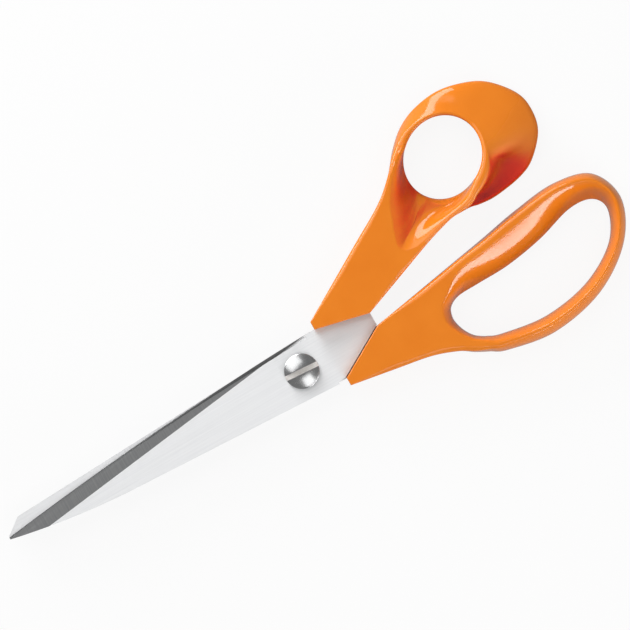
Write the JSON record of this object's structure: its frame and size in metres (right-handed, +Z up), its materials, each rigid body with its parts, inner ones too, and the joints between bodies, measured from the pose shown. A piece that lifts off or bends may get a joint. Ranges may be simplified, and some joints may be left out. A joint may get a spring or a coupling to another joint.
{
  "type": "fabric shears",
  "caption": "Right-handed fabric shears with ground steel blades on a slotted pivot screw and moulded handles with a tilted thumb ring and a long finger ring.",
  "frame": {"origin": "on the pivot axis, on the flat back of the nut, which lies in the plane that the shears rest on", "axes": "+X along the closed blades to the tips, +Y to the finger ring's side, +Z up along the pivot axis to the screw head"},
  "size_m": [0.2102, 0.0805, 0.012],
  "materials": {
    "blade_steel": "fine satin, with darker ground bevels along the cutting edges",
    "handle_plastic": "glossy moulded orange",
    "screw_steel": "polished",
    "small_steel": "plated",
    "nylon": "matte white"
  },
  "bodies": {
    "finger_half": {"finger_blade": "blade_steel", "finger_handle": "handle_plastic", "pivot_screw": "screw_steel", "spring_washer": "small_steel", "pivot_nut": "small_steel", "lock_ring": "nylon"},
    "thumb_half": {"thumb_blade": "blade_steel", "thumb_handle": "handle_plastic"}
  },
  "joints": [
    {"name": "pivot", "type": "hinge", "parent": "finger_half", "child": "thumb_half", "pos_m": [0, 0, 0.005], "axis": [0, 0, 1], "range_deg": [0, 95]}
  ]
}
